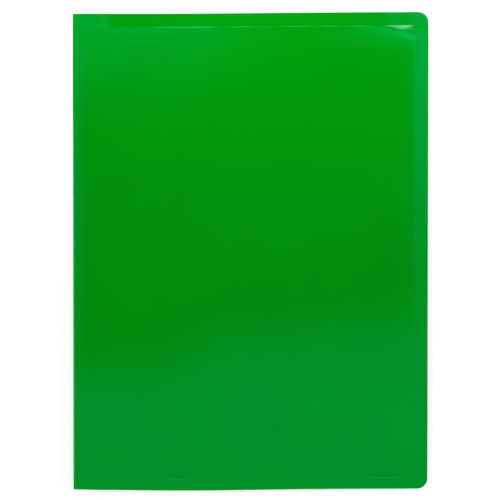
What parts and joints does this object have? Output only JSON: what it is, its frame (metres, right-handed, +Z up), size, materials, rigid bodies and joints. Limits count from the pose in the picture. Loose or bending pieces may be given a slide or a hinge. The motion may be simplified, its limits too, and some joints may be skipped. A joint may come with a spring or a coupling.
{
  "type": "stamp album",
  "caption": "Stamp album with a glossy green creased plastic cover, round fore-edge corners and black stock leaves with clear strip pockets, hinged on a bar inside the spine.",
  "frame": {"origin": "middle of the closed album's footprint, on the face that it lies on", "axes": "+X from the spine to the fore edge, +Y from the tail to the head, +Z up through the leaves to the front cover"},
  "size_m": [0.238, 0.32, 0.0122],
  "materials": {
    "cover": "smooth extruded polypropylene sheet, glossy, with creased folds",
    "binding": "extruded black plastic, satin",
    "leaf": "black polypropylene sheet with a fine matt grain",
    "hinge_film": "thin black plastic film, satin",
    "strip_film": "clear glossy film, welded along the foot and the two ends"
  },
  "bodies": {
    "back_cover": {"back_cover": "cover"},
    "spine": {"spine": "cover", "binding_bar": "binding"},
    "front_cover": {"front_cover": "cover"},
    "leaf_1": {"leaf_1_sheet": "leaf", "leaf_1_hinge_strip": "hinge_film", "leaf_1_front_strips": "strip_film", "leaf_1_back_strips": "strip_film"},
    "leaf_2": {"leaf_2_sheet": "leaf", "leaf_2_hinge_strip": "hinge_film", "leaf_2_front_strips": "strip_film", "leaf_2_back_strips": "strip_film"},
    "leaf_3": {"leaf_3_sheet": "leaf", "leaf_3_hinge_strip": "hinge_film", "leaf_3_front_strips": "strip_film", "leaf_3_back_strips": "strip_film"},
    "leaf_4": {"leaf_4_sheet": "leaf", "leaf_4_hinge_strip": "hinge_film", "leaf_4_front_strips": "strip_film", "leaf_4_back_strips": "strip_film"},
    "leaf_5": {"leaf_5_sheet": "leaf", "leaf_5_hinge_strip": "hinge_film", "leaf_5_front_strips": "strip_film", "leaf_5_back_strips": "strip_film"},
    "leaf_6": {"leaf_6_sheet": "leaf", "leaf_6_hinge_strip": "hinge_film", "leaf_6_front_strips": "strip_film", "leaf_6_back_strips": "strip_film"},
    "leaf_7": {"leaf_7_sheet": "leaf", "leaf_7_hinge_strip": "hinge_film", "leaf_7_front_strips": "strip_film", "leaf_7_back_strips": "strip_film"},
    "leaf_8": {"leaf_8_sheet": "leaf", "leaf_8_hinge_strip": "hinge_film", "leaf_8_front_strips": "strip_film", "leaf_8_back_strips": "strip_film"}
  },
  "joints": [
    {"name": "spine_fold", "type": "hinge", "parent": "back_cover", "child": "spine", "pos_m": [-0.1186, 0, 0.0004], "axis": [0, -1, 0], "range_deg": [0, 90]},
    {"name": "front_cover_fold", "type": "hinge", "parent": "spine", "child": "front_cover", "pos_m": [-0.1186, 0, 0.0118], "axis": [0, -1, 0], "range_deg": [0, 90]},
    {"name": "leaf_1_fold", "type": "hinge", "parent": "spine", "child": "leaf_1", "pos_m": [-0.1174, 0, 0.0106], "axis": [0, -1, 0], "range_deg": [0, 90]},
    {"name": "leaf_2_fold", "type": "hinge", "parent": "spine", "child": "leaf_2", "pos_m": [-0.1162, 0, 0.0094], "axis": [0, -1, 0], "range_deg": [0, 90]},
    {"name": "leaf_3_fold", "type": "hinge", "parent": "spine", "child": "leaf_3", "pos_m": [-0.115, 0, 0.0082], "axis": [0, -1, 0], "range_deg": [0, 90]},
    {"name": "leaf_4_fold", "type": "hinge", "parent": "spine", "child": "leaf_4", "pos_m": [-0.1138, 0, 0.007], "axis": [0, -1, 0], "range_deg": [0, 90]},
    {"name": "leaf_5_fold", "type": "hinge", "parent": "spine", "child": "leaf_5", "pos_m": [-0.1138, 0, 0.0052], "axis": [0, -1, 0], "range_deg": [-90, 0]},
    {"name": "leaf_6_fold", "type": "hinge", "parent": "spine", "child": "leaf_6", "pos_m": [-0.115, 0, 0.004], "axis": [0, -1, 0], "range_deg": [-90, 0]},
    {"name": "leaf_7_fold", "type": "hinge", "parent": "spine", "child": "leaf_7", "pos_m": [-0.1162, 0, 0.0028], "axis": [0, -1, 0], "range_deg": [-90, 0]},
    {"name": "leaf_8_fold", "type": "hinge", "parent": "spine", "child": "leaf_8", "pos_m": [-0.1174, 0, 0.0016], "axis": [0, -1, 0], "range_deg": [-90, 0]}
  ],
  "couplings": [
    {"joint": "front_cover_fold", "follows": "spine_fold", "ratio": 1},
    {"joint": "leaf_1_fold", "follows": "spine_fold", "ratio": 1},
    {"joint": "leaf_2_fold", "follows": "spine_fold", "ratio": 1},
    {"joint": "leaf_3_fold", "follows": "spine_fold", "ratio": 1},
    {"joint": "leaf_4_fold", "follows": "spine_fold", "ratio": 1},
    {"joint": "leaf_5_fold", "follows": "spine_fold", "ratio": -1},
    {"joint": "leaf_6_fold", "follows": "spine_fold", "ratio": -1},
    {"joint": "leaf_7_fold", "follows": "spine_fold", "ratio": -1},
    {"joint": "leaf_8_fold", "follows": "spine_fold", "ratio": -1}
  ]
}
